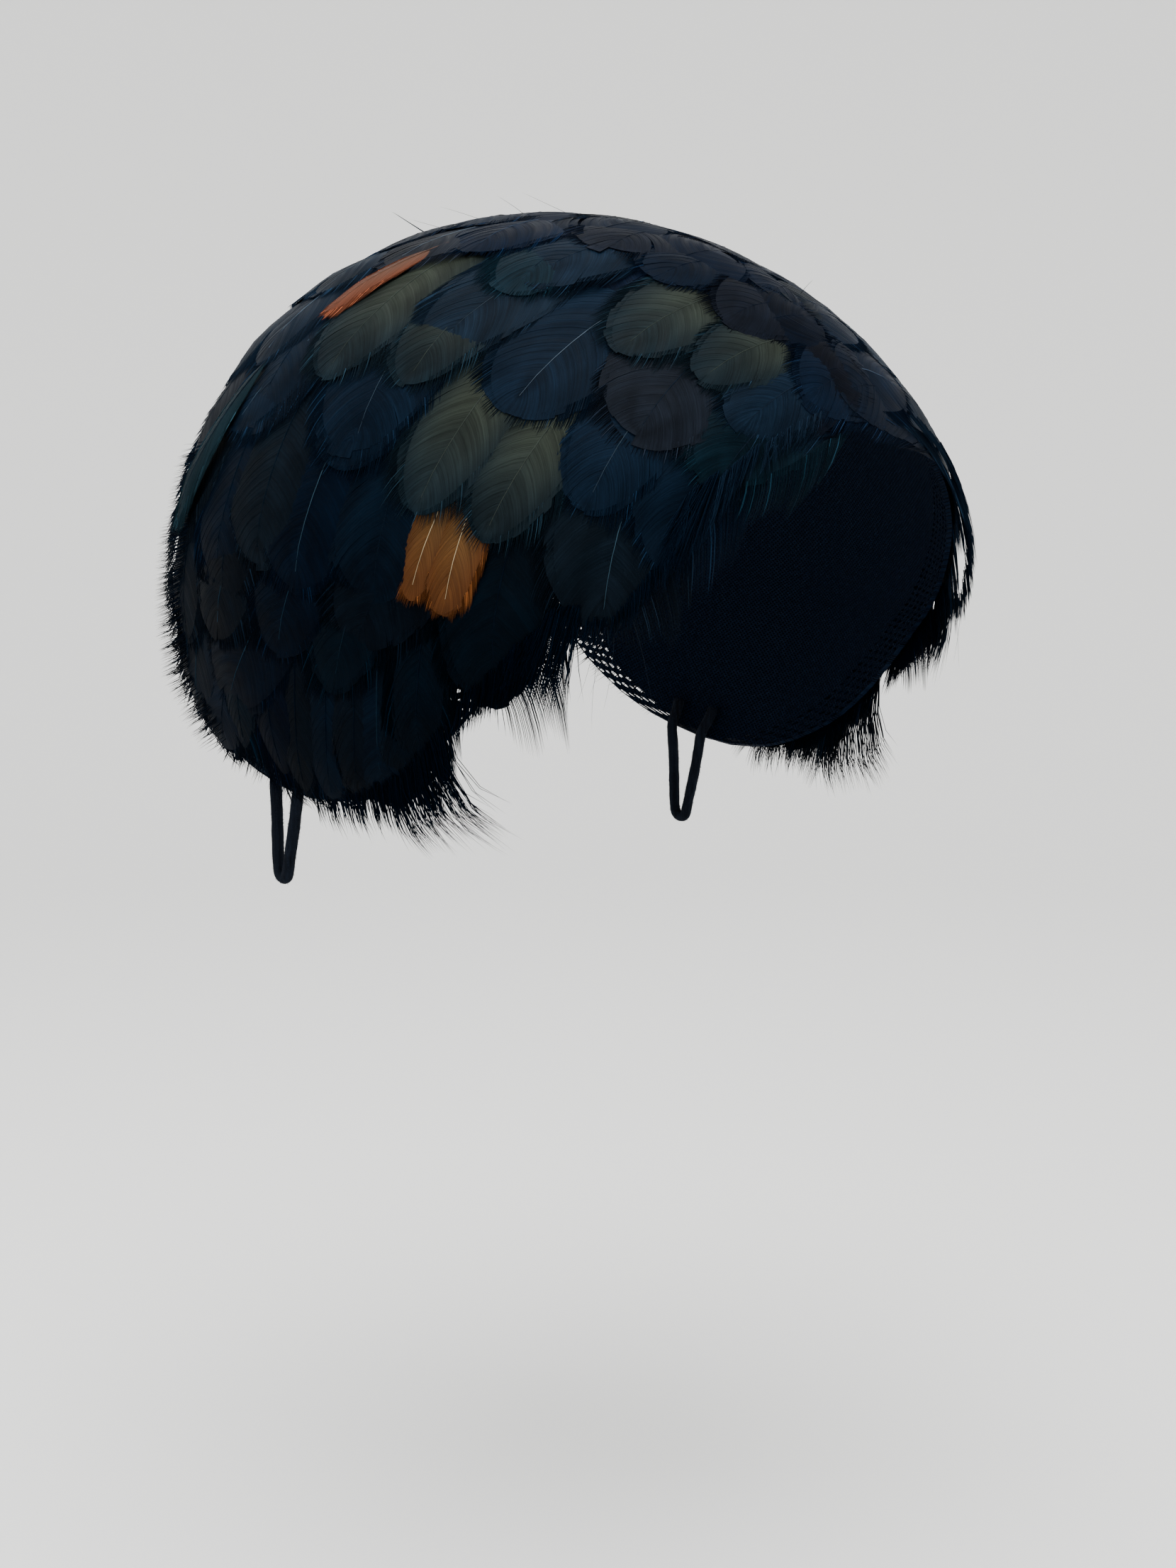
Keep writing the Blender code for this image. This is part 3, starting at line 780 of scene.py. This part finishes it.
def holed_strip(edge, inward):
    """Net cut through in rows: each cell is a ring between a square and an uneven eight-sided hole.

    The square reaches half a cell over the greater of cos and sin at each corner. A fine sine wobble
    makes every line uneven but the innermost, which meets the closed wall.
    """
    rows = int(HOLED_MARGIN / HOLE_PITCH)
    length = 2 * NET_END * NET_HALF_WIDTH
    columns = int(length / HOLE_PITCH)
    i, j = np.meshgrid(np.arange(columns), np.arange(rows), indexing="ij")
    i, j = i.ravel()[:, None], j.ravel()[:, None]
    turn = np.arange(HOLE_CORNERS) * 2 * math.pi / HOLE_CORNERS
    square = 0.5 / np.maximum(np.abs(np.cos(turn)), np.abs(np.sin(turn)))
    outer = np.stack([square * np.cos(turn), square * np.sin(turn)], -1)
    size = HOLE_SHARE / 2 * (1 + HOLE_STRAY * rng.normal(size=(len(i), 1)))
    inner = np.stack([size * np.cos(turn), size * np.sin(turn)], -1)
    cell = np.stack([np.broadcast_to(outer, inner.shape), inner], axis=1)
    u = (i[:, :, None] + 0.5 + cell[..., 0]) / columns
    w = (j[:, :, None] + 0.5 + cell[..., 1]) / rows
    around = np.clip(NET_END * (2 * u - 1), -NET_END, NET_END)
    in_from_edge = w * margin_width(around)
    wobble = NET_UNEVEN * np.sin(310 * around + 5 * w) * (w < 0.99)
    along = edge(around) + inward * (in_from_edge + wobble) / NET_HALF_DEPTH
    upper, lower = on_net(around, along, 0.0 * along), on_net(around, along, -NET_WALL + 0 * along)
    points = np.stack([upper, lower], axis=1)
    index = np.arange(4 * HOLE_CORNERS).reshape(2, 2, HOLE_CORNERS)
    after = np.roll(index, -1, axis=2)
    top = np.stack([index[0, 0], after[0, 0], after[0, 1], index[0, 1]], -1)
    under = np.stack([index[1, 0], index[1, 1], after[1, 1], after[1, 0]], -1)
    hole = np.stack([index[0, 1], after[0, 1], after[1, 1], index[1, 1]], -1)
    rim = np.stack([index[0, 0], index[1, 0], after[1, 0], after[0, 0]], -1)
    faces = many(np.concatenate([top, under, hole, rim]), len(points), index.size).reshape(-1, 4)
    across = upper[0, 0, 1] - upper[0, 0, 0]
    if np.dot(np.cross(across, upper[0, 1, 0] - upper[0, 0, 0]), upper[0, 0, 0] - lower[0, 0, 0]) < 0:
        faces = faces[:, ::-1]
    spot = np.stack([around * NET_HALF_WIDTH, along * NET_HALF_DEPTH], -1)
    pattern = np.broadcast_to(spot[:, None], points.shape[:-1] + (2,))
    return flat_patch(points, [faces], NET_TINT, pattern)


def net(finish):
    """The net's wall: closed in the middle, where feathers cover it, and holed along both edges.

    Both faces are raised by the product of a sine round the net and one along it, so that they are uneven.
    """
    around = NET_END * np.linspace(-1, 1, NET_COLUMNS + 1)[:, None]
    share = np.linspace(0, 1, NET_ROWS + 1)[None, :]
    trim = margin_width(around) / NET_HALF_DEPTH
    front, back = front_edge(around) + trim, back_edge(around) - trim
    along = front + share * (back - front)
    around = around + 0 * along
    spot = np.stack([around * NET_HALF_WIDTH, along * NET_HALF_DEPTH], -1)
    uneven = NET_UNEVEN * np.sin(spot[..., 0] * 900) * np.sin(spot[..., 1] * 1100)
    upper = on_net(around, along, uneven - NET_INSET)
    lower = on_net(around, along, uneven - NET_WALL + NET_INSET)
    middle = slabs(upper[None], lower[None], np.broadcast_to(NET_TINT, upper.shape)[None], spot[None])
    strips = [holed_strip(front_edge, 1), holed_strip(back_edge, -1)]
    make_piece("net", [middle] + strips, finish, ["net_frame"])


# Feathers, an array entry each: the half of the net as -1 or 1, the angle round of the quill end, the
# angle along of the shaft, length and greatest half width in metres, the heading's turn towards the back,
# the sideways bend as a share of the length, the height above its layer, the roll towards the back, the
# tint of vane, vane's rim and shaft, the share of each barb that is loose towards the front and the back,
# and the length of the loose barbs there
FLOCK_VALUES = "side root along length half_width heading bend above roll tint rim shaft loose fringe"
Flock = namedtuple("Flock", FLOCK_VALUES)


def vane_width(forward):
    """Half width at a share of the length: a quarter sine to the belly, then a superellipse to the tip."""
    widening = QUILL_END_WIDTH + (1 - QUILL_END_WIDTH) * np.sin(math.pi / 2 * np.clip(forward / BELLY, 0, 1))
    past = np.clip((forward - BELLY) / (1 - BELLY), 0, 1)
    return widening * (1 - past**TIP_ROUNDNESS) ** (1 / TIP_ROUNDNESS)


def barb(t, s):
    """The barb that leaves the shaft at t, at a share s of its length: lateral and forward shares.

    It leaves the shaft at a slant and bends forwards, and ends on the vane's outline. Its lateral share is
    the vane's width times (1 + BARB_ARCH)s - BARB_ARCH s|s|, and it is BARB_SLANT s + (1 - BARB_SLANT)s^2
    of the way forward to its end.
    """
    start = SHAFT_REACH * t
    end = FIRST_BARB_END + (1 - FIRST_BARB_END) * (1 - (1 - t) ** BARB_CROWDING)
    lateral = vane_width(end) * ((1 + BARB_ARCH) * s - BARB_ARCH * s * np.abs(s))
    forward = start + (end - start) * (BARB_SLANT * s + (1 - BARB_SLANT) * s * s)
    return lateral, forward


def per(value, like):
    """Each feather's value, shaped to go with an array of that many dimensions."""
    return value.reshape((-1,) + (1,) * (like.ndim - 1))


def place(flock, lateral, forward, raised):
    """Puts points of flat feathers on the net: lateral and forward in metres, raised off the vane.

    The shaft bends sideways as the square of the share along it. The feather climbs at SLOPE to
    TIP_HEIGHT, droops by TIP_DROOP over the last DROOP_RUN, falls by CAMBER times the square of the share
    across it, and rolls by the plain share. By the net's edges it is pressed down to a share of its height.
    """
    share = forward / per(flock.length, forward)
    from_tip = np.maximum(per(flock.length, forward) - forward, -0.004)
    bent = lateral + per(flock.bend * flock.length, forward) * share**2
    c, s = np.cos(per(flock.heading, forward)), np.sin(per(flock.heading, forward))
    radius = NET_HALF_WIDTH * np.cos(per(flock.along, forward))
    around = per(flock.root, forward) + (forward * c - bent * s) / radius
    along = per(flock.along, forward) + (bent * c + forward * s) / NET_HALF_DEPTH
    across = np.clip(lateral / per(flock.half_width, forward), -1.1, 1.1)
    height = TIP_HEIGHT - SLOPE * from_tip - TIP_DROOP * ease(1 - from_tip / DROOP_RUN)
    height = height + per(flock.above, forward)
    height = height - CAMBER * across**2 + per(flock.roll, forward) * across
    inside = np.minimum(along - front_edge(around), back_edge(around) - along) * NET_HALF_DEPTH
    pressed = 1 - PRESSED_SHARE * (1 - ease(inside / PRESSED_MARGIN))
    height = height * bulk(around, along) * pressed + raised
    return on_net(per(flock.side, forward) * around, along, height)


def vanes(flock):
    """The vanes, in locks of barbs. Some neighbouring locks part, and turn a little as a group.

    A group's sweep forwards, lift and shortening are drawn by chance. Sweep and lift grow as the square of
    the share along the barb, and the sweep as the square of the feather's width. The tint eases to the
    rim's along each barb, and over the whole width towards the tip.
    """
    count = len(flock.root)
    cells_t, cells_s = LOCK_CELLS
    shape = (count, 2, LOCKS)
    parts = rng.random(shape) < SPLIT_CHANCE
    group = np.cumsum(parts, axis=2)
    of_group = lambda drawn: np.take_along_axis(drawn, group % LOCKS, axis=2)
    sweep = of_group(rng.normal(0, LOCK_SWEEP, shape))
    sweep = sweep * (flock.half_width[:, None, None] / FEATHER_HALF_WIDTH) ** 2
    sweep = sweep * rng.choice(SWEEP_SHARES, (count, 2, 1), p=SWEEP_CHANCES)
    lifted = of_group(rng.uniform(*LOCK_LIFT, shape))
    cut = of_group(rng.uniform(*GROUP_CUT, shape))
    cut = cut + rng.uniform(*LOCK_CUT, shape)
    step = np.linspace(-LOCK_LAP, 1 + LOCK_LAP, cells_t + 1)
    t = (np.arange(LOCKS)[:, None] + step) / LOCKS
    t = np.clip(t, 0.0, 1.0)[None, None, :, :, None]
    s = np.linspace(0, 1, cells_s + 1)[None, None, None, None, :]
    per_lock = lambda value: value[..., None, None]
    freed = flock.loose[:, :, None, None, None] * (0.8 + 0.4 * per_lock(rng.random(shape)))
    reach = np.minimum(1 - per_lock(cut) - freed, 1.0)
    run = s * reach
    lateral, forward = barb(t, run)
    sign = np.array([-1.0, 1.0])[None, :, None, None, None]
    half, length = flock.half_width[:, None, None, None, None], flock.length[:, None, None, None, None]
    lateral = lateral * sign * half
    forward = forward * length + per_lock(sweep) * run**2
    raised = per_lock(lifted) * run**2 + LAP_RISE * step[None, None, None, :, None]
    upper = place(flock, lateral, forward, raised + VANE_THICKNESS / 2)
    lower = place(flock, lateral, forward, raised - VANE_THICKNESS / 2)
    shade = 1 + LOCK_SHADE * per_lock(rng.normal(size=shape))
    rim = ease((run - RIM_START) / RIM_RUN)
    rim = (1 - (1 - rim) * (1 - TIP_FADE * ease((t - FADE_START) / FADE_RUN)))[..., None]
    five = lambda value: value[:, None, None, None, None, :]
    tint = five(flock.tint) * (1 - rim) + five(flock.rim) * rim
    tint = tint * np.broadcast_to(np.clip(shade, 0.3, 2.0), forward.shape)[..., None]
    pattern = np.stack([run * half + 0 * t, t * length + 0 * run], -1)
    pattern = pattern + rng.uniform(0, 3, (count, 1, 1, 1, 1, 2))
    return slabs(*bodies(upper, lower, tint, pattern + 0 * forward[..., None]))


def outward_at(flock, lateral, forward):
    """The way off the net at those points: the way to the same points raised by a millimetre."""
    return unit(place(flock, lateral, forward, 0.001) - place(flock, lateral, forward, 0.0))


def loose_barbs(flock):
    """Barbs that stand free past the vane's margin, on the same curves as the barbs of the vane.

    Their length swells as the square of a sine along the vane. A sine of GATHERS waves and a stray sway
    them forwards and back, both growing as the square of the share along the barb. A few are pale glints.
    """
    count = len(flock.root)
    shape = (count, 2, BARBS)
    t = np.clip((np.arange(BARBS) + rng.uniform(0, 1, shape)) / BARBS, 0.02, 1.0)
    half = flock.half_width[:, None, None]
    start = 1 - flock.loose[:, :, None] * 1.15 - ROOTED_SHARE
    longer = flock.fringe[:, :, None] / half * (0.55 + 0.45 * np.sin(9 * t + per(flock.bend * 90, t)) ** 2)
    end = BARB_REACH + longer + rng.normal(0, REACH_STRAY, shape)
    stations = 3 if np.max(flock.fringe) < SHORT_FRINGE else 4
    k = np.linspace(0, 1, stations)
    run = start[..., None] + (end - start)[..., None] * k
    lateral, forward = barb(t[..., None], run)
    sign = np.array([-1.0, 1.0])[None, :, None, None]
    lateral = lateral * sign * half[..., None]
    wave = 2 * math.pi * (GATHERS * t + rng.uniform(0, 1, (count, 2, 1)))
    stray = (GATHER_SWAY * np.sin(wave) + rng.normal(0, BARB_STRAY, shape))[..., None] * k**2
    forward = forward * flock.length[:, None, None, None] + stray
    raised = rng.normal(BARB_RISE, RISE_STRAY, shape)[..., None] * k + BARB_RISE / 2
    path = place(flock, lateral, forward, raised)
    normal = outward_at(flock, lateral, forward)
    radius = BARB_RADIUS * (1.15 - 0.75 * k) + 0 * run
    glint = np.where(rng.random(shape) < GLINT_SHARE, GLINT, rng.uniform(*DULL_SPAN, shape))
    tint = flock.rim[:, None, None, None, :] * glint[..., None, None]
    tint = np.broadcast_to(tint, path.shape)
    pattern = np.zeros(path.shape[:-1] + (2,)) + rng.uniform(0, 3, shape)[..., None, None]
    return needles(*bodies(path, radius, normal, tint, pattern))


def shafts(flock):
    """The shafts: thin tubes along the middle, partly sunk in the vane, tapering evenly to 0.28."""
    k = np.linspace(0, 1, SHAFT_CELLS + 1)[None, :]
    forward = k * SHAFT_REACH * flock.length[:, None]
    lateral = 0 * forward
    path = place(flock, lateral, forward, VANE_THICKNESS / 2 + SHAFT_RADIUS * 0.35)
    normal = outward_at(flock, lateral, forward)
    radius = SHAFT_RADIUS * (1 - 0.72 * k) + 0 * forward
    tint = np.broadcast_to(flock.shaft[:, None, :], path.shape)
    pattern = np.stack([forward, lateral], -1)
    return tubes(path, radius, normal, SHAFT_SIDES, tint, pattern)


def comb_barbs(side, row, painted_light):
    """Loose barbs in combs, from chance places on the comb's line, turning evenly by their curl.

    The size of a sine along the comb sets their length, least at its zeros, where neighbours lean
    towards each other by COMB_GATHER. They rise as the share along them to the power 1.5.
    """
    found = []
    for comb in COMBS:
        if comb.row != row:
            continue
        k = np.sort(rng.uniform(0, 1, comb.barbs))
        around = np.radians(comb.around + k * (comb.to_around - comb.around))
        along = np.radians(comb.along + k * (comb.to_along - comb.along))
        around = around - COMB_BASE / NET_HALF_WIDTH * rng.uniform(0.3, 1.2, comb.barbs)
        wave = np.sin(math.pi * k * comb.gathers)
        length = (comb.length + k * (comb.to_length - comb.length)) * 1e-3
        share = 1 - COMB_PARTING * (1 - np.abs(wave))
        length = length * share * rng.uniform(0.80, 1.08, comb.barbs) + COMB_BASE
        gather = -np.sign(np.sin(2 * math.pi * k * comb.gathers)) * (1 - np.abs(wave))
        heading = math.radians(comb.heading) + COMB_GATHER * gather + rng.normal(0, COMB_STRAY, comb.barbs)
        curl = rng.normal(comb.curl, CURL_STRAY, comb.barbs)
        s = np.linspace(0, 1, 4)[None, :]
        turned = heading[:, None] + curl[:, None] * s
        walked = s * length[:, None]
        at_round = around[:, None] + walked * np.cos(turned) / (NET_HALF_WIDTH * np.cos(along[:, None]))
        at_along = along[:, None] + walked * np.sin(turned) / NET_HALF_DEPTH
        height = COMB_HEIGHT * (1 + rng.uniform(-0.25, 0.25, comb.barbs)[:, None])
        height = height + comb.rise * 1e-3 * s**1.5
        path = on_net(SIDES[side] * at_round, at_along, height)
        normal = unit(on_net(SIDES[side] * at_round, at_along, height + 0.001) - path)
        radius = BARB_RADIUS * (1.3 - 0.8 * s) + 0 * walked
        # The comb's barbs take their row's painted sheen and shade
        shade = TINTS[0] * painted_light * rng.uniform(0.5, 1.4, (comb.barbs, 1, 1))
        found.append(needles(path, radius, normal, np.broadcast_to(shade, path.shape), 0 * path[..., :2]))
    return found


def strays():
    """A loose quill and stray hairs, straight but for a sideways curl that grows as the square."""
    s = np.linspace(0, 1, 8)[:, None]
    for stray in STRAYS:
        side, around, along = SIDES[stray.side], math.radians(stray.around), math.radians(stray.along)
        at = lambda turned=0.0, slid=0.0, height=TIP_HEIGHT: on_net(
            side * (around + turned), along + slid, height)
        start = at(height=TIP_HEIGHT * 0.55 * bulk(around, along))
        near = at(turned=1e-3), at(slid=1e-3), at(height=2 * TIP_HEIGHT)
        down, back, out = [unit(point - at()) for point in near]
        turn, rise = math.radians(stray.heading), math.radians(stray.rise)
        flat = down * math.cos(turn) + back * math.sin(turn)
        ahead = flat * math.cos(rise) + out * math.sin(rise)
        aside = unit(np.cross(ahead, out))
        path = start + 1e-3 * (stray.length * s * ahead + stray.curl * s**2 * aside)
        radius = stray.radius * 1e-3 * (1.05 - 0.8 * s[:, 0])
        tint, normal = np.broadcast_to(DARK_SHAFT, path.shape), np.broadcast_to(out, path.shape)
        yield needles(path[None], radius[None], normal[None], tint[None], 0 * path[None, :, :2])


def plumage(name, flock, finish, nodes, extra=()):
    patches = [vanes(flock), loose_barbs(flock), shafts(flock), *extra]
    return make_piece(name, patches, finish, nodes)


# The dark feathers' tints, and how often each is drawn
TINTS = np.array([
    (0.0034, 0.0072, 0.0125),
    (0.0056, 0.0098, 0.0150),
    (0.0030, 0.0080, 0.0110),
    (0.0068, 0.0076, 0.0100),
    (0.0016, 0.0050, 0.0105),
])
TINT_SHARES = (0.32, 0.18, 0.18, 0.12, 0.20)

# Painted light from above, laid on the tints from the crown to the ends: a painted sheen brightest a little
# below the crown, and painted shade that deepens towards the lower ends. The angle round in degrees, and the
# share of the tint's red, green and blue
PAINTED_LIGHT_FALL = np.array([
    (0, 0.26, 0.34, 0.54),
    (23, 0.46, 0.60, 0.84),
    (39, 0.85, 0.98, 1.12),
    (55, 0.66, 0.82, 0.98),
    (71, 0.42, 0.60, 0.76),
    (87, 0.22, 0.42, 0.54),
    (103, 0.10, 0.24, 0.36),
    (130, 0.07, 0.20, 0.32),
])
RIM_SHADE = 0.80
PALE_SHAFT = np.array([0.085, 0.095, 0.105])
DARK_SHAFT = np.array([0.0060, 0.0090, 0.0140])


def painted_light_at(tip):
    """The painted light's shares of red, green and blue at a tip's angle round, straight between the table's
    rows.
    """
    return np.array([np.interp(math.degrees(tip), PAINTED_LIGHT_FALL[:, 0], share) for share in PAINTED_LIGHT_FALL.T[1:]])


def row_feathers(side, tips, sizes):
    """Feathers side by side, every other one a little shorter, with the next rank set half way between.

    Tips are the angles round that the ranks reach, and sizes the share of the full half width. The row's
    values are read straight between its neighbours in ROWS. Headings fan out as the share towards an end
    times its own size, and stray less there by CALM_ENDS times that share to the fourth power.
    """
    found = []
    for tip in tips:
        place_in_rows = np.clip((tip - FIRST_TIP) / ROW_STEP, 0, len(ROWS) - 1.001)
        low = int(place_in_rows)
        share = place_in_rows - low
        cut = Row(*[a * (1 - share) + b * share for a, b in zip(ROWS[low], ROWS[low + 1])])
        over = OVERHANG / NET_HALF_DEPTH
        front = front_edge(tip - cut.hold * ROW_STEP) - getattr(cut, side) * over
        back = back_edge(tip - ROW_STEP / 4) + cut.tail * over
        half = FEATHER_HALF_WIDTH * sizes
        inset = END_INSET * half / NET_HALF_DEPTH
        span = (back - front - 2 * inset) * NET_HALF_DEPTH
        rank = round(place_in_rows)
        count = max(2, round(span / FEATHER_SPACING) + 1)
        count = count + (count + rank) % 2
        share = np.linspace(0, 1, count)
        middle = np.sin(math.pi * share) > 0.01
        along = front + inset + share * (back - front - 2 * inset)
        along = along + middle * rng.normal(0, ALONG_STRAY, count)
        length = FEATHER_LENGTH * rng.uniform(*LENGTH_SPAN, count)
        width = half * rng.uniform(*WIDTH_SPAN, count)
        reach = tip - SHORTER_TIP * (np.arange(count) % 2) + rng.normal(0, TIP_STRAY, count)
        root = reach - length / (NET_HALF_WIDTH * np.cos(along))
        towards = 2 * share - 1
        calm = 1 - CALM_ENDS * np.abs(towards) ** 4
        heading = HEADING_FAN * towards * np.abs(towards) + calm * rng.normal(0, HEADING_STRAY, count)
        # Painted sheen and shade by the row's place round, laid on the vanes' and the shafts' tints
        painted_light = painted_light_at(tip)
        drawn = TINTS[rng.choice(len(TINTS), count, p=TINT_SHARES)]
        tint = drawn * rng.uniform(*TINT_SPAN, (count, 1)) * painted_light
        pale = rng.random(count) < PALE_CHANCE
        shaft = np.where(pale[:, None], PALE_SHAFT * rng.uniform(*PALE_SPAN, (count, 1)), DARK_SHAFT) * painted_light
        at_front = ease(1 - share * (count - 1))
        at_back = ease(1 - (1 - share) * (count - 1))
        loose = np.stack([
            cut.loose + (cut.front_loose - cut.loose) * at_front,
            cut.loose + BACK_LOOSE * at_back,
        ], -1) * rng.uniform(*LOOSE_SPAN, (count, 2))
        fringe = np.stack([
            LEAST_FRINGE + cut.fringe * (MIDDLE_FRINGE + (1 - MIDDLE_FRINGE) * at_front),
            LEAST_FRINGE + cut.fringe * MIDDLE_FRINGE + BACK_FRINGE * at_back,
        ], -1) * rng.uniform(*FRINGE_SPAN, (count, 2))
        found.append(Flock(
            side=np.full(count, SIDES[side]), root=root, along=along, length=length, half_width=width,
            heading=heading, bend=rng.normal(0, BEND_STRAY, count), above=rng.uniform(*ABOVE_SPAN, count),
            roll=rng.choice([-1, 1], count) * rng.uniform(*ROLL_SPAN, count),
            tint=tint, rim=tint * RIM_SHADE, shaft=shaft, loose=loose, fringe=fringe,
        ))
    return joined(*found)


def joined(*flocks):
    return Flock(*[np.concatenate(values) for values in zip(*flocks)])


def make_room(flock):
    """Leaves out the feathers that would cover a coloured one or end beside it, save the slim rust one."""
    keep = np.ones(len(flock.root), bool)
    tip = flock.root + flock.length / (NET_HALF_WIDTH * np.cos(flock.along))
    for accent in ACCENTS:
        if accent.colour == "rust":
            continue
        near = np.abs(flock.along - math.radians(accent.along)) * NET_HALF_DEPTH
        beside = near < ACCENT_ROOM + accent.half_width * 0.5e-3
        level = np.abs(tip - math.radians(accent.tip)) < ROW_STEP / 2
        keep &= ~(beside & level & (flock.side == SIDES["right"]))
    return Flock(*[value[keep] for value in flock])


def all_rows(finish):
    """The crown's feathers on both halves and six rows down each half, with end feathers and combs."""
    step = ROW_STEP / 2
    crown = [FIRST_TIP - 2 * step, FIRST_TIP]
    flock = joined(row_feathers("right", crown, 1.0), row_feathers("left", crown, 1.0))
    plumage("crown_plumage", flock, finish, ["crown_feathers"], strays())
    for side in SIDES:
        for row in range(1, len(ROWS)):
            tip = FIRST_TIP + row * ROW_STEP
            flock = make_room(row_feathers(side, [tip], 1.0 if row < 5 else 0.9))
            if row == len(ROWS) - 1:
                flock = joined(flock, end_feathers(side))
            if side == "right" and row == TUFT_ROW:
                flock = joined(flock, back_tuft())
            # The combs get the row's painted sheen and shade
            combs = comb_barbs(side, row, painted_light_at(tip))
            node = f"{side}_feathers_{row}"
            plumage(f"{side}_plumage_{row}", flock, finish, [node], combs)


def end_feathers(side):
    """The last feathers of a half, side by side past the net's rounded end."""
    tip, along, half = END_FEATHERS.T
    count = len(tip)
    along, length = np.radians(along), END_LENGTH * rng.uniform(0.95, 1.05, count)
    # The end feathers and their shafts take the painted shade of the net's lower ends
    tint = TINTS[rng.choice(len(TINTS), count, p=TINT_SHARES)] * painted_light_at(NET_END)
    return Flock(
        side=np.full(count, SIDES[side]), root=np.radians(tip) - length / (NET_HALF_WIDTH * np.cos(along)),
        along=along, length=length, half_width=half * 1e-3, heading=rng.normal(0, math.radians(3), count),
        bend=rng.normal(0, 0.04, count), above=np.linspace(0.0, 0.0003, count),
        roll=rng.choice([-1, 1], count) * 0.0001, tint=tint, rim=tint * RIM_SHADE,
        shaft=np.broadcast_to(DARK_SHAFT, (count, 3)) * painted_light_at(NET_END),
        loose=np.full((count, 2), 0.16), fringe=np.full((count, 2), 0.0034),
    )


def lone_feather(**values):
    """A flock of one feather on the right half."""
    values["side"] = SIDES["right"]
    return Flock(**{name: np.array([value], float) for name, value in values.items()})


def back_tuft():
    """The slim pointed feather that stands past the net's back edge."""
    return lone_feather(
        root=math.radians(52), along=math.radians(22), length=0.040, half_width=0.0045,
        heading=math.radians(19), bend=-0.06, above=0.0022, roll=0.0, tint=TINTS[2], rim=TINTS[2],
        shaft=DARK_SHAFT, loose=(0.1, 0.2), fringe=(0.0008, 0.0015),
    )


# The coloured feathers' tints: vane, vane's rim and shaft
ACCENT_TINTS = {
    "olive": ((0.0130, 0.0163, 0.0120), (0.0022, 0.0056, 0.0085), (0.020, 0.025, 0.021)),
    "rust": ((0.050, 0.023, 0.014), (0.064, 0.019, 0.009), (0.07, 0.04, 0.03)),
    "amber": ((0.047, 0.0240, 0.0075), (0.038, 0.0130, 0.0036), (0.20, 0.155, 0.09)),
}


def accent_plumage(accent, finish):
    """A single coloured feather in its place among the rows."""
    along = math.radians(accent.along)
    length, half = accent.length * 1e-3, accent.half_width * 1e-3
    heading = math.radians(accent.lean)
    root = math.radians(accent.tip) - length * math.cos(heading) / (NET_HALF_WIDTH * math.cos(along))
    start = along - length * math.sin(heading) / NET_HALF_DEPTH
    tint, rim, shaft = ACCENT_TINTS[accent.colour]
    flock = lone_feather(
        root=root, along=start, length=length, half_width=half, heading=heading, bend=ACCENT_BEND,
        above=accent.above * ACCENT_LIFT, roll=0.0, tint=tint, rim=rim, shaft=shaft,
        loose=(accent.loose, accent.loose), fringe=(ACCENT_FRINGE, ACCENT_FRINGE),
    )
    plumage(f"{accent.name}_vane", flock, finish, [accent.name])


camera()
velvet = velvet_finish()
for side_name in SIDES:
    pin_loop(side_name, velvet)
studio()
lights()
net(net_finish())
all_rows(feather_finish("blue_black_vane", roughness=0.42, shine=0.009))
coloured = {
    "olive": feather_finish("olive_vane", roughness=0.55, shine=0.02),
    "rust": feather_finish("rust_vane", roughness=0.45, shine=0.03),
    "amber": feather_finish("amber_vane", roughness=0.42, shine=0.03),
}
for accent in ACCENTS:
    accent_plumage(accent, coloured[accent.colour])
